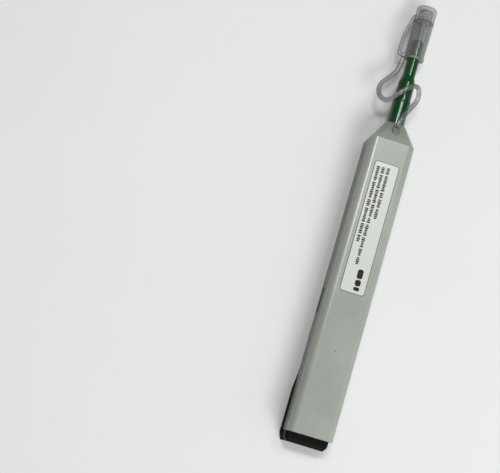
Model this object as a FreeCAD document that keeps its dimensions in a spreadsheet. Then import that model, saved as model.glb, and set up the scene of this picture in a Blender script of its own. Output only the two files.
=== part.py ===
import FreeCAD, Part
import math
import os
from types import SimpleNamespace

import Sketcher

# A push-type cleaning pen for 2.5 mm fibre connectors.
#
# The pen lies along Y with its nozzle at +Y. X is across it and Z is up, with the
# label on top. The origin is the middle of the case's length, on the face that the
# pen rests on. Everything is in millimetres.
#
# Pushing the case forward along the nozzle carries a rack past the take-up pinion,
# which winds the used thread in, while a pin in the case turns the spindle, and with
# it the cleaning tip, through half a turn. A spring pushes the case back.

DRIVING = {
    # case shell
    "case_width": 19.0,
    "case_height": 17.0,
    "case_wall": 1.5,
    "shell_length": 126.0,
    "edge_radius": 2.8,
    "foot_radius": 0.8,
    "inner_radius": 1.0,
    "nose_length": 9.0,
    "nose_size": 8.6,
    "nose_radius": 3.4,
    "nose_wall": 1.2,
    # windows that stop the stroke
    "stroke": 11.0,
    "window_setback": 17.3,
    "window_low": 1.9,
    "window_height": 4.5,
    "window_radius": 1.0,
    "lug_length": 1.8,
    "lug_gap": 0.2,
    "lug_recess": 0.3,
    # rear cover and bottom plate
    "cover_length": 46.0,
    "cover_inset": 0.2,
    "cover_proud": 0.7,
    "flare_rear": 17.0,
    "flare_front": 26.0,
    "block_depth": 4.2,
    "block_height": 9.5,
    "block_inset": 0.4,
    "block_corner": 2.6,
    "block_edge": 1.2,
    "tail_corner": 3.0,
    "plate_gap": 0.05,
    # running clearances
    "slide_gap": 0.3,
    "running_gap": 0.05,
    "part_gap": 0.1,
    # label
    "label_width": 10.1,
    "label_length": 55.8,
    "label_setback": 10.1,
    "label_corner": 1.0,
    "label_thickness": 0.12,
    # carriage frame
    "rear_space": 25.5,
    "frame_setback": 6.0,
    "frame_wall": 1.1,
    "bay_length": 54.5,
    "bearing_ahead": 8.0,
    "bearing_setback": 6.0,
    "bearing_length": 2.0,
    "pin_slot_width": 5.0,
    "thread_port": 3.3,
    # reels and drive
    "takeup_gap": 0.2,
    "reel_spacing": 16.0,
    "axle_radius": 1.0,
    "reel_gap": 0.8,
    "drum_radius": 2.6,
    "flange": 0.8,
    "takeup_pack": 3.4,
    "supply_pack": 4.6,
    "gear_module": 0.8,
    "pinion_width": 2.3,
    "rack_backlash": 0.12,
    "ratchet_depth": 0.5,
    "pawl_thickness": 0.2,
    "pawl_width": 1.2,
    "pawl_foot": 1.6,
    "pawl_bend": 1.4,
    "pawl_gap": 0.05,
    "pawl_knee": 3.0,
    "hook_bite": 0.55,
    # thread
    "thread_radius": 0.15,
    "strand_offset": 0.6,
    "guide_radius": 0.8,
    "rear_guide_ahead": 8.0,
    "front_guide_ahead": 8.4,
    "guide_drop": 2.6,
    "mouth_guide_ahead": 4.5,
    # nozzle
    "sleeve_radius": 3.75,
    "sleeve_bore": 2.8,
    "sleeve_length": 10.5,
    "barrel_radius": 3.65,
    "barrel_taper": 0.1,
    "barrel_length": 8.7,
    "cone_length": 3.2,
    "neck_radius": 2.63,
    "neck_length": 16.3,
    "neck_wall": 0.72,
    "neck_chamfer": 0.5,
    "mouth_wall": 2.2,
    "nozzle_tail": 6.5,
    "tip_radius": 1.25,
    "tip_wall": 0.3,
    "tip_length": 8.4,
    "tip_setback": 0.7,
    "tip_flange": 1.0,
    "tip_shoulder": 0.25,
    # spindle and tip
    "spindle_drum": 3.2,
    "spindle_journal": 2.0,
    "spindle_shaft": 1.9,
    "spindle_neck": 1.65,
    "spindle_bore": 1.1,
    "spindle_setback": 2.2,
    "spindle_step": 0.5,
    "journal_overhang": 1.0,
    "drum_setback": 1.5,
    "thread_bore": 0.9,
    "groove_floor": 2.0,
    "groove_width": 2.9,
    "groove_overrun": 1.6,
    "cam_lead": 22.0,
    "cam_pin_ahead": 9.0,
    "cam_pin_radius": 0.6,
    "cam_pin_shank": 1.0,
    "cam_boss_radius": 2.2,
    "cam_boss_depth": 2.3,
    "head_radius": 0.85,
    "head_length": 18.7,
    "thread_fit": 0.01,
    "tip_spring_wire": 0.1,
    "tip_spring_length": 6.0,
    "tip_spring_turns": 6.0,
    # return spring
    "spring_radius": 3.1,
    "spring_wire": 0.35,
    "spring_turns": 7.0,
    "spring_height": 6.5,
    "spring_post": 1.8,
    "post_length": 5.5,
    # guide cap and dust lid
    "cap_mouth": 30.3,
    "cap_length": 17.0,
    "cap_bore": 3.4,
    "cap_mouth_radius": 4.1,
    "cap_head_radius": 4.4,
    "cap_rim": 0.9,
    "cap_lip": 0.25,
    "cap_lead": 0.3,
    "cap_end_wall": 1.0,
    "cap_tip_gap": 0.35,
    "spigot_radius": 3.1,
    "spigot_length": 5.0,
    "ferrule_bore": 1.26,
    "rib_width": 1.0,
    "nub_reach": 5.4,
    "nub_length": 1.6,
    "lid_radius": 4.35,
    "lid_length": 6.5,
    "lid_gap": 0.2,
    "lid_corner": 0.9,
    "band_width": 1.4,
    "band_thickness": 1.5,
    "band_heel": 6.8,
    "band_fold": 1.0,
    "band_top": 1.9,
    # strap and its plug
    "strap_width": 2.0,
    "plug_offset": 5.2,
    "plug_radius": 1.75,
    "plug_head": 1.0,
    "plug_round": 0.35,
    "plug_stem": 1.25,
    "plug_stem_length": 1.7,
}

RACK_TEETH = 9
PINION_TEETH = 12
RATCHET_TEETH = 18
# The pawl hook's back and front faces lie at these shares of the reel's radius.
HOOK_BACK_SHARE = 0.3145
HOOK_FRONT_SHARE = 0.2661
CAP_RIBS = 3
PRESSURE_ANGLE = math.radians(20)
DEDENDUM = 1.25
FLANK_POINTS = 5
ARC_SHARE = 0.45
TOUCH = 0.01
LEAST_CUT = 1e-6

# Places that the strap is laid through, from the plug to the guide cap.
STRAP_ROUTE = [
    (0.1, 69.6, 15.4),
    (0.5, 73.4, 15.9),
    (3.0, 78.6, 14.6),
    (5.9, 84.2, 12.6),
    (5.0, 89.4, 13.8),
    (1.2, 88.8, 16.4),
    (-3.4, 83.6, 16.4),
    (-7.4, 78.8, 14.4),
    (-11.3, 82.2, 11.6),
    (-11.2, 87.4, 9.8),
    (-7.6, 91.8, 8.7),
    (-4.7, 96.6, 8.5),
    (-4.6, 102.1, 8.5),
]

doc = FreeCAD.newDocument("cleaning_pen")
sheet = doc.addObject("Spreadsheet::Sheet", "Sizes")


class Size:
    """A size with its value and the sheet expression that gives it."""

    def __init__(self, value, text):
        self.value = float(value)
        self.text = text

    def joined(self, sign, other, value):
        return Size(value, f"({self.text} {sign} {other.text})")

    def __add__(self, other):
        other = as_size(other)
        return self.joined("+", other, self.value + other.value)

    def __radd__(self, other):
        return as_size(other) + self

    def __sub__(self, other):
        other = as_size(other)
        return self.joined("-", other, self.value - other.value)

    def __rsub__(self, other):
        return as_size(other) - self

    def __mul__(self, other):
        other = as_size(other)
        return self.joined("*", other, self.value * other.value)

    def __rmul__(self, other):
        return as_size(other) * self

    def __truediv__(self, other):
        other = as_size(other)
        return self.joined("/", other, self.value / other.value)

    def __neg__(self):
        return 0 - self


def as_size(value):
    return value if isinstance(value, Size) else Size(value, repr(float(value)))


def fill_sheet():
    """Writes every driving size into the sheet and hands them back by name."""
    sizes = {}
    for row, (name, value) in enumerate(DRIVING.items(), start=1):
        sheet.set(f"A{row}", name)
        sheet.set(f"B{row}", str(value))
        sheet.setAlias(f"B{row}", name)
        sizes[name] = Size(value, "Sizes." + name)
    doc.recompute()
    return SimpleNamespace(**sizes)


z = fill_sheet()

# Lengths worked out from the driving ones.
half_shell = z.shell_length / 2
half_width = z.case_width / 2
inner_half = half_width - z.case_wall
axis_height = z.case_height / 2
ceiling = z.case_height - z.case_wall
nose_end = half_shell + z.nose_length
frame_half = inner_half - z.slide_gap
frame_low = z.case_wall + z.slide_gap
frame_high = ceiling - z.slide_gap
bay_half = frame_half - z.frame_wall
frame_rear = z.rear_space - half_shell
frame_front = half_shell - z.frame_setback
bay_front = frame_rear + z.bay_length
rear_bearing = bay_front + z.bearing_ahead
front_bearing = frame_front - z.bearing_setback
window_front = bay_front - z.window_setback
cam_pin_y = rear_bearing + z.cam_pin_ahead
reel_radius = ceiling - axis_height - z.reel_gap
takeup_y = frame_rear + z.frame_wall + z.takeup_gap + reel_radius
supply_y = takeup_y + z.reel_spacing
pitch_radius = z.gear_module * PINION_TEETH / 2
tooth_pitch = z.gear_module * math.pi
cover_front = z.cover_length - half_shell
floor_step = z.case_wall + z.plate_gap
reel_half = bay_half - z.slide_gap
pinion_left = -reel_half
pinion_right = pinion_left + z.pinion_width
sleeve_end = nose_end + z.sleeve_length
barrel_end = sleeve_end + z.barrel_length
neck_start = barrel_end + z.cone_length
neck_end = neck_start + z.neck_length
tip_end = neck_end + z.tip_length
neck_bore = z.neck_radius - z.neck_wall
cap_start = nose_end + z.cap_mouth
cap_end = cap_start + z.cap_length
spigot_end = cap_end + z.spigot_length
lid_start = cap_end + z.lid_gap
lid_end = lid_start + z.lid_length
thread_outer = z.strand_offset + z.thread_radius
nose_slope = (z.case_height - axis_height - z.nose_size / 2) / z.nose_length


def bind(thing, prop, size):
    """Gives a property the expression of a size, so the sheet drives it."""
    thing.setExpression(prop, as_size(size).text)


def new_body(label):
    body = doc.addObject("PartDesign::Body", label)
    body.Label = label
    return body


def raise_to_axis(body, y=0):
    """Places a body that was drawn about its own centre on the pen's axis."""
    bind(body, "Placement.Base.y", y)
    bind(body, "Placement.Base.z", axis_height)


def sketch_on(body, role, at=0):
    """A sketch on one of the body's origin planes, moved along that plane's axis."""
    plane = next(item for item in body.Origin.OriginFeatures if item.Role == role)
    sketch = body.newObject("Sketcher::SketchObject", body.Label + "_sketch")
    sketch.AttachmentSupport = [(plane, "")]
    sketch.MapMode = "FlatFace"
    bind(sketch, "AttachmentOffset.Base.z", -at if role == "XZ_Plane" else at)
    return sketch


def hold(sketch, kind, geometry, vertex, size):
    """Fixes a point's X or Y from the sketch's origin, driven by the sheet."""
    size = as_size(size)
    rule = Sketcher.Constraint(kind, -1, 1, geometry, vertex, size.value)
    index = sketch.addConstraint(rule)
    bind(sketch, f"Constraints[{index}]", size)


def hold_radius(sketch, geometry, size):
    size = as_size(size)
    index = sketch.addConstraint(Sketcher.Constraint("Radius", geometry, size.value))
    bind(sketch, f"Constraints[{index}]", size)


def flat(x, y):
    return FreeCAD.Vector(as_size(x).value, as_size(y).value, 0)


def polygon(*points):
    """Draws a closed outline through the points, each held by the sheet."""
    def draw(sketch):
        count = len(points)
        for here, there in zip(points, points[1:] + points[:1]):
            sketch.addGeometry(Part.LineSegment(flat(*here), flat(*there)))
        for side in range(count):
            following = (side + 1) % count
            sketch.addConstraint(Sketcher.Constraint("Coincident", side, 2, following, 1))
        for side, (x, y) in enumerate(points):
            hold(sketch, "DistanceX", side, 1, x)
            hold(sketch, "DistanceY", side, 1, y)
    return draw


def rectangle(left, right, low, high):
    return polygon((left, low), (right, low), (right, high), (left, high))


def circle(x, y, radius):
    def draw(sketch):
        sketch.addGeometry(Part.Circle(flat(x, y), FreeCAD.Vector(0, 0, 1), radius.value))
        hold(sketch, "DistanceX", 0, 3, x)
        hold(sketch, "DistanceY", 0, 3, y)
        hold_radius(sketch, 0, radius)
    return draw


def rounded(left, right, low, high, low_radius, high_radius):
    """Draws a rectangle whose low and high corners have their own radii."""
    def draw(sketch):
        corners = [
            (left + low_radius, low + low_radius, low_radius, 180),
            (right - low_radius, low + low_radius, low_radius, 270),
            (right - high_radius, high - high_radius, high_radius, 0),
            (left + high_radius, high - high_radius, high_radius, 90),
        ]
        arcs = []
        for x, y, radius, start in corners:
            whole = Part.Circle(flat(x, y), FreeCAD.Vector(0, 0, 1), radius.value)
            first, last = math.radians(start), math.radians(start + 90)
            arcs.append(Part.ArcOfCircle(whole, first, last))
        for arc, following in zip(arcs, arcs[1:] + arcs[:1]):
            sketch.addGeometry(arc)
            sketch.addGeometry(Part.LineSegment(arc.EndPoint, following.StartPoint))
        for number, (x, y, radius, start) in enumerate(corners):
            arc, line, following = 2 * number, 2 * number + 1, (2 * number + 2) % 8
            sketch.addConstraint(Sketcher.Constraint("Tangent", arc, 2, line, 1))
            sketch.addConstraint(Sketcher.Constraint("Tangent", line, 2, following, 1))
            hold(sketch, "DistanceX", arc, 3, x)
            hold(sketch, "DistanceY", arc, 3, y)
            hold_radius(sketch, arc, radius)
    return draw


def prism(body, role, start, end, draw, cut=False):
    """Pads or pockets an outline along its plane's axis, from start to end."""
    sketch = sketch_on(body, role, start)
    draw(sketch)
    before = body.Shape.Volume if cut else 0
    kind = "PartDesign::Pocket" if cut else "PartDesign::Pad"
    feature = body.newObject(kind, body.Label + ("_pocket" if cut else "_pad"))
    feature.Profile = sketch
    feature.Reversed = cut != (role == "XZ_Plane")
    bind(feature, "Length", end - start)
    doc.recompute()
    if cut and body.Shape.Volume > before - LEAST_CUT:
        raise RuntimeError(f"{feature.Name} cuts nothing")
    return feature


def turned(body, *points, axis="V_Axis", cut=False):
    """Turns an outline about the sketch's own axis: V is along Y and H is along X."""
    sketch = sketch_on(body, "XY_Plane")
    polygon(*points)(sketch)
    before = body.Shape.Volume if cut else 0
    kind = "PartDesign::Groove" if cut else "PartDesign::Revolution"
    feature = body.newObject(kind, body.Label + "_turned")
    feature.Profile = sketch
    feature.ReferenceAxis = (sketch, [axis])
    feature.Angle = 360
    doc.recompute()
    if cut and body.Shape.Volume > before - LEAST_CUT:
        raise RuntimeError(f"{feature.Name} cuts nothing")
    return feature


def blend_sections(body, first_y, draw_first, last_y, draw_last, cut=False):
    """Lofts between two outlines square to the pen's axis."""
    first = sketch_on(body, "XZ_Plane", first_y)
    draw_first(first)
    last = sketch_on(body, "XZ_Plane", last_y)
    draw_last(last)
    before = body.Shape.Volume if cut else 0
    kind = "PartDesign::SubtractiveLoft" if cut else "PartDesign::AdditiveLoft"
    feature = body.newObject(kind, body.Label + "_loft")
    feature.Profile = first
    feature.Sections = [last]
    feature.Ruled = True
    doc.recompute()
    if cut and body.Shape.Volume > before - LEAST_CUT:
        raise RuntimeError(f"{feature.Name} cuts nothing")
    return feature


def ease(body, size, chosen, kind="Fillet"):
    """Fillets or chamfers the edges of the tip that the test chooses."""
    tip = body.Tip
    edges = enumerate(tip.Shape.Edges, start=1)
    names = [f"Edge{number}" for number, edge in edges if chosen(edge)]
    if not names:
        raise RuntimeError(f"{body.Label} has no such edge")
    feature = body.newObject("PartDesign::" + kind, body.Label + "_" + kind.lower())
    feature.Base = (tip, names)
    bind(feature, "Radius" if kind == "Fillet" else "Size", size)
    doc.recompute()
    return feature


def around(body, feature, axis_role, count):
    """Repeats a feature about one of the body's own axes."""
    axis = next(item for item in body.Origin.OriginFeatures if item.Role == axis_role)
    pattern = body.newObject("PartDesign::PolarPattern", body.Label + "_pattern")
    pattern.Originals = [feature]
    pattern.Axis = (axis, [""])
    pattern.Angle = 360
    pattern.Occurrences = count
    body.Tip = pattern
    doc.recompute()
    return pattern


def in_a_row(body, feature, axis_role, spacing, count):
    """Repeats a feature backwards along one of the body's own axes."""
    axis = next(item for item in body.Origin.OriginFeatures if item.Role == axis_role)
    pattern = body.newObject("PartDesign::LinearPattern", body.Label + "_row")
    pattern.Originals = [feature]
    pattern.Direction = (axis, [""])
    pattern.Reversed = True
    bind(pattern, "Length", spacing * (count - 1))
    pattern.Occurrences = count
    body.Tip = pattern
    doc.recompute()
    return pattern


def near(value, size):
    return abs(value - as_size(size).value) < TOUCH


def plain_solid(label, shape):
    """A piece whose form no sketch gives: its shape is set here."""
    feature = doc.addObject("Part::Feature", label)
    feature.Label = label
    feature.Shape = shape
    return feature


# ---------------------------------------------------------------- case

def case_outline():
    return rounded(-half_width, half_width, 0, z.case_height,
                   z.foot_radius, z.edge_radius)


def square_about_axis(size, corner):
    half = size / 2
    return rounded(-half, half, axis_height - half, axis_height + half, corner, corner)


def make_case_shell():
    """The grey upper moulding: roof, sides, rear wall and tapered nose."""
    body = new_body("case_shell")
    prism(body, "XZ_Plane", -half_shell, half_shell, case_outline())
    blend_sections(body, half_shell, case_outline(), nose_end,
                   square_about_axis(z.nose_size, z.nose_radius))
    nose_cavity_start = half_shell - z.case_wall
    nose_cavity_end = nose_end - z.nose_wall
    prism(body, "XZ_Plane", z.case_wall - half_shell, nose_cavity_start,
          rounded(-inner_half, inner_half, -z.case_wall, ceiling, z.inner_radius, z.inner_radius),
          cut=True)
    inner_nose = 2 * (z.sleeve_radius + z.part_gap + z.slide_gap)
    blend_sections(body, nose_cavity_start,
                   rounded(-inner_half, inner_half, z.case_wall, ceiling,
                           z.inner_radius, z.inner_radius),
                   nose_cavity_end, square_about_axis(inner_nose, z.nose_radius), cut=True)
    prism(body, "XZ_Plane", nose_cavity_end - z.nose_wall, nose_end + z.nose_wall,
          circle(0, axis_height, z.sleeve_radius + z.part_gap), cut=True)
    # The rear cover fills the low part of the rear wall and the edge under the sides.
    prism(body, "XZ_Plane", -half_shell - z.case_wall, z.case_wall - half_shell,
          rectangle(-inner_half, inner_half, -z.case_wall, z.block_height + z.plate_gap),
          cut=True)
    prism(body, "XY_Plane", -z.case_wall, floor_step,
          rectangle(-z.case_width, z.case_width, -half_shell - z.case_wall, cover_front),
          cut=True)
    window_rear = window_front - z.stroke - z.lug_length - 2 * z.lug_gap
    prism(body, "YZ_Plane", -z.case_width, z.case_width,
          rounded(window_rear, window_front, z.window_low, z.window_low + z.window_height,
                  z.window_radius, z.window_radius), cut=True)
    # The boss under the roof holds the cam pin.
    prism(body, "XY_Plane", ceiling - z.cam_boss_depth, ceiling,
          circle(0, cam_pin_y, z.cam_boss_radius))
    prism(body, "XY_Plane", ceiling - z.cam_boss_depth - z.part_gap, ceiling + z.part_gap,
          circle(0, cam_pin_y, z.cam_pin_shank), cut=True)
    cut_plug_hole(body)
    return body


def plug_place():
    """The middle of the strap plug's seat on the nose's top slope."""
    y = half_shell + z.plug_offset
    height = z.case_height - nose_slope * z.plug_offset
    return y, height


def plug_tilt():
    return math.degrees(math.atan(nose_slope.value))


def cut_plug_hole(body):
    """A hole square to the nose's top slope, for the stem of the strap plug."""
    y, height = plug_place()
    sketch = sketch_on(body, "XY_Plane")
    bind(sketch, "AttachmentOffset.Base.y", y)
    bind(sketch, "AttachmentOffset.Base.z", height)
    sketch.AttachmentOffset = FreeCAD.Placement(
        FreeCAD.Vector(0, y.value, height.value),
        FreeCAD.Rotation(FreeCAD.Vector(1, 0, 0), -plug_tilt()))
    circle(0, 0, z.plug_stem + z.running_gap)(sketch)
    pocket = body.newObject("PartDesign::Pocket", "plug_hole")
    pocket.Profile = sketch
    bind(pocket, "Length", 2 * z.case_wall)
    doc.recompute()


def make_bottom_plate():
    """The grey plate that closes the case ahead of the rear cover."""
    body = new_body("bottom_plate")
    rear = cover_front + z.plate_gap
    front = half_shell - z.case_wall - z.plate_gap
    side = inner_half - z.plate_gap
    prism(body, "XY_Plane", 0, z.case_wall, rectangle(-side, side, rear, front))
    return body


def make_rear_cover():
    """The black cover: rear block, floor, drive rack and the return spring's post."""
    body = new_body("rear_cover")
    rear = -half_shell - z.block_depth
    slim = half_width - z.cover_inset
    wide = half_width + z.cover_proud
    tail = half_width - z.block_inset
    floor_outline = polygon(
        (-tail, rear), (tail, rear), (wide, rear + z.tail_corner),
        (wide, z.flare_rear - half_shell), (slim, z.flare_front - half_shell),
        (slim, cover_front - z.plate_gap), (-slim, cover_front - z.plate_gap),
        (-slim, z.flare_front - half_shell), (-wide, z.flare_rear - half_shell),
        (-wide, rear + z.tail_corner))
    prism(body, "XY_Plane", 0, z.case_wall, floor_outline)
    block_front = -half_shell - z.plate_gap
    prism(body, "XY_Plane", z.case_wall, z.block_height,
          rectangle(-tail, tail, rear, block_front))
    ease(body, z.block_corner, lambda edge: is_upright(edge) and
         near(abs(edge.CenterOfMass.x), tail) and near(edge.CenterOfMass.y, rear) and
         edge.CenterOfMass.z > z.case_wall.value)
    ease(body, z.block_edge, lambda edge: near(edge.CenterOfMass.z, z.block_height) and
         edge.CenterOfMass.y < block_front.value - z.plate_gap.value)
    plug_side = inner_half - z.plate_gap
    prism(body, "XY_Plane", z.case_wall, z.block_height,
          rectangle(-plug_side, plug_side, block_front, z.case_wall - half_shell))
    prism(body, "XZ_Plane", z.case_wall - half_shell,
          z.case_wall - half_shell + z.post_length,
          circle(0, z.spring_height, z.spring_post))
    add_rack(body)
    return body


def is_upright(edge):
    box = edge.BoundBox
    return box.XLength < TOUCH and box.YLength < TOUCH < box.ZLength


def add_rack(body):
    """Straight-flanked teeth that the take-up pinion rolls along."""
    pitch_line = axis_height - pitch_radius
    root = pitch_line - DEDENDUM * z.gear_module
    tip = pitch_line + z.gear_module
    at_pitch = (tooth_pitch / 2 - z.rack_backlash) / 2
    lean = math.tan(PRESSURE_ANGLE)
    at_root = at_pitch + DEDENDUM * lean * z.gear_module
    at_tip = at_pitch - lean * z.gear_module
    first = takeup_y + 1.5 * tooth_pitch
    last = first - (RACK_TEETH - 1) * tooth_pitch
    prism(body, "XY_Plane", z.case_wall, root,
          rectangle(pinion_left, pinion_right, last - tooth_pitch / 2,
                    first + tooth_pitch / 2))
    tooth = prism(body, "YZ_Plane", pinion_left, pinion_right,
                  polygon((first - at_root, root), (first + at_root, root),
                          (first + at_tip, tip), (first - at_tip, tip)))
    in_a_row(body, tooth, "Y_Axis", tooth_pitch, RACK_TEETH)


def make_cam_pin():
    """The steel pin in the roof whose nose runs in the spindle's groove."""
    body = new_body("cam_pin")
    shoulder = z.spindle_drum + z.slide_gap
    floor = z.groove_floor + z.part_gap
    top = ceiling + z.part_gap - axis_height
    prism(body, "XY_Plane", floor, shoulder, circle(0, 0, z.cam_pin_radius))
    prism(body, "XY_Plane", shoulder, top, circle(0, 0, z.cam_pin_shank))
    raise_to_axis(body, cam_pin_y)
    return body


def make_label():
    body = new_body("label")
    half = z.label_width / 2
    front = half_shell - z.label_setback
    prism(body, "XY_Plane", z.case_height, z.case_height + z.label_thickness,
          rounded(-half, half, front - z.label_length, front, z.label_corner,
                  z.label_corner))
    return body


# ---------------------------------------------------------------- carriage

def make_carriage_frame():
    """The moulded slide that carries the reels, the spindle and the nozzle."""
    body = new_body("carriage_frame")
    prism(body, "XZ_Plane", frame_rear, frame_front,
          rectangle(-frame_half, frame_half, frame_low, frame_high))
    # The reel bay is open above and below.
    prism(body, "XY_Plane", 0, z.case_height,
          rectangle(-bay_half, bay_half, frame_rear + z.frame_wall, bay_front),
          cut=True)
    tunnel = rectangle(-bay_half, bay_half, frame_low + z.frame_wall,
                       frame_high - z.frame_wall)
    wall_ahead = bay_front + z.frame_wall
    prism(body, "XZ_Plane", wall_ahead, rear_bearing, tunnel, cut=True)
    prism(body, "XZ_Plane", rear_bearing + z.bearing_length, front_bearing, tunnel,
          cut=True)
    prism(body, "XZ_Plane", front_bearing + z.bearing_length,
          frame_front - z.frame_wall, tunnel, cut=True)
    # Holes along the axis, from the reel bay to the nozzle.
    prism(body, "XZ_Plane", bay_front - z.frame_wall, wall_ahead + z.frame_wall,
          circle(0, axis_height, z.thread_port), cut=True)
    prism(body, "XZ_Plane", rear_bearing - z.frame_wall,
          rear_bearing + z.bearing_length + z.frame_wall,
          circle(0, axis_height, z.spindle_journal + z.running_gap), cut=True)
    prism(body, "XZ_Plane", front_bearing - z.frame_wall,
          front_bearing + z.bearing_length + z.frame_wall,
          circle(0, axis_height, z.spindle_drum + z.running_gap), cut=True)
    prism(body, "XZ_Plane", frame_front - 2 * z.frame_wall, frame_front + z.frame_wall,
          circle(0, axis_height, z.sleeve_radius), cut=True)
    # The cam pin's boss passes along this slot in the roof.
    slot_end = z.cam_boss_radius + z.slide_gap
    prism(body, "XY_Plane", frame_high - 2 * z.frame_wall, frame_high + z.frame_wall,
          rectangle(-z.pin_slot_width / 2, z.pin_slot_width / 2,
                    cam_pin_y - slot_end, cam_pin_y + z.stroke + slot_end), cut=True)
    # The rack runs through this notch in the rear wall.
    rack_top = axis_height - pitch_radius + z.gear_module
    prism(body, "XZ_Plane", frame_rear - z.frame_wall, frame_rear + 2 * z.frame_wall,
          rectangle(-bay_half, pinion_right + z.slide_gap, -z.case_wall,
                    rack_top + z.slide_gap), cut=True)
    # Axle and guide pin holes across both sides.
    for y, height, radius in cross_pins().values():
        prism(body, "YZ_Plane", -z.case_width, z.case_width, circle(y, height, radius),
              cut=True)
    # Stop lugs that ride in the case's windows.
    lug_front = window_front - z.lug_gap
    lug_low = z.window_low + z.lug_gap
    lug_high = z.window_low + z.window_height - z.lug_gap
    lug_corner = z.window_radius - z.lug_gap
    reach = half_width - z.lug_recess
    for start, end in ((frame_half, reach), (-reach, -frame_half)):
        prism(body, "YZ_Plane", start, end,
              rounded(lug_front - z.lug_length, lug_front, lug_low, lug_high,
                      lug_corner, lug_corner))
    # Boss that centres the return spring.
    prism(body, "XZ_Plane", frame_rear - z.post_length / 2, frame_rear,
          circle(0, z.spring_height, z.spring_post))
    return body


def cross_pins():
    """Where each pin lies across the carriage: its Y, its height and its radius."""
    top = ceiling - z.guide_drop
    mouth = bay_front + z.mouth_guide_ahead
    above = axis_height + z.strand_offset + z.thread_radius + z.guide_radius
    below = axis_height - z.strand_offset - z.thread_radius - z.guide_radius
    return {
        "takeup_axle": (takeup_y, axis_height, z.axle_radius),
        "supply_axle": (supply_y, axis_height, z.axle_radius),
        "rear_guide_pin": (takeup_y + z.rear_guide_ahead, top, z.guide_radius),
        "front_guide_pin": (supply_y + z.front_guide_ahead, top, z.guide_radius),
        "upper_mouth_pin": (mouth, above, z.guide_radius),
        "lower_mouth_pin": (mouth, below, z.guide_radius),
    }


def make_cross_pin(label, y, height, radius):
    """A ground steel pin pressed into both sides of the carriage."""
    body = new_body(label)
    prism(body, "YZ_Plane", -frame_half, frame_half, circle(0, 0, radius))
    bind(body, "Placement.Base.y", y)
    bind(body, "Placement.Base.z", height)
    return body


def make_reel(label, left, right, y):
    """A flanged spool that turns on a cross axle."""
    body = new_body(label)
    bore = z.axle_radius + z.running_gap
    turned(body, (left, bore), (right, bore), (right, reel_radius),
           (right - z.flange, reel_radius), (right - z.flange, z.drum_radius),
           (left + z.flange, z.drum_radius), (left + z.flange, reel_radius),
           (left, reel_radius), axis="H_Axis")
    raise_to_axis(body, y)
    return body


def make_supply_reel(left, right):
    """The supply reel has a long hub in place of the take-up reel's pinion."""
    body = make_reel("supply_reel", left, right, supply_y)
    bore = z.axle_radius + z.running_gap
    turned(body, (-reel_half, bore), (left + z.flange / 2, bore),
           (left + z.flange / 2, z.drum_radius - z.flange),
           (-reel_half, z.drum_radius - z.flange), axis="H_Axis")
    return body


def make_thread_pack(label, left, right, y, radius):
    """The thread wound between a reel's flanges."""
    body = new_body(label)
    turned(body, (left + z.flange, z.drum_radius), (right - z.flange, z.drum_radius),
           (right - z.flange, radius), (left + z.flange, radius), axis="H_Axis")
    raise_to_axis(body, y)
    return body


def make_takeup_reel(left, right):
    """The take-up reel has ratchet teeth cut round its right flange."""
    body = make_reel("takeup_reel", left, right, takeup_y)
    step = 2 * math.pi / RATCHET_TEETH
    inner = reel_radius - z.ratchet_depth
    outer = reel_radius + z.part_gap
    notch = prism(body, "YZ_Plane", right - z.flange, right,
                  polygon((0, inner), (outer * math.sin(step), outer * math.cos(step)),
                          (outer * math.sin(step / 2), outer / math.cos(step / 2)),
                          (0, outer)), cut=True)
    around(body, notch, "X_Axis", RATCHET_TEETH)
    return body


def involute(base, radius):
    """The angle that an involute of the base circle has swept at a radius."""
    roll = math.sqrt((radius / base) ** 2 - 1)
    return roll - math.atan(roll)


def gear_wire(module, teeth, thinning):
    """One involute gear outline in the XY plane, with a tooth pointing along -Y."""
    pitch = module * teeth / 2
    base = pitch * math.cos(PRESSURE_ANGLE)
    root, tip = pitch - DEDENDUM * module, pitch + module
    half = math.pi / (2 * teeth) - thinning / (2 * pitch) + involute(base, pitch)
    radii = [base + (tip - base) * n / (FLANK_POINTS - 1) for n in range(FLANK_POINTS)]
    edges = []
    first = last = None
    for tooth in range(teeth):
        middle = 2 * math.pi * tooth / teeth - math.pi / 2
        rising = [polar(radius, middle - half + involute(base, radius)) for radius in radii]
        falling = [polar(radius, middle + half - involute(base, radius)) for radius in radii]
        start, end = polar(root, middle - half), polar(root, middle + half)
        if last is not None:
            edges.append(Part.makeLine(last, start))
        else:
            first = start
        edges += [Part.makeLine(start, rising[0]), flank(rising),
                  Part.makeLine(rising[-1], falling[-1]), flank(falling[::-1]),
                  Part.makeLine(falling[0], end)]
        last = end
    edges.append(Part.makeLine(last, first))
    return Part.Wire(edges)


def polar(radius, angle):
    return FreeCAD.Vector(radius * math.cos(angle), radius * math.sin(angle), 0)


def flank(points):
    curve = Part.BSplineCurve()
    curve.interpolate(points)
    return curve.toShape()


def make_drive_pinion():
    """The involute pinion beside the take-up reel, driven by the case's rack."""
    outline = gear_wire(z.gear_module.value, PINION_TEETH, z.rack_backlash.value)
    width = z.pinion_width.value
    gear = Part.Face(outline).extrude(FreeCAD.Vector(0, 0, width))
    bore = z.axle_radius.value + z.running_gap.value
    gear = gear.cut(Part.makeCylinder(bore, width))
    pinion = plain_solid("drive_pinion", gear)
    # Its drawn -Y points down and its drawn Z points along the axle.
    turn = FreeCAD.Rotation(FreeCAD.Vector(0, 1, 0), FreeCAD.Vector(0, 0, 1),
                            FreeCAD.Vector(1, 0, 0), "ZXY")
    pinion.Placement = FreeCAD.Placement(
        FreeCAD.Vector(pinion_left.value, takeup_y.value, axis_height.value), turn)
    return pinion


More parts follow.
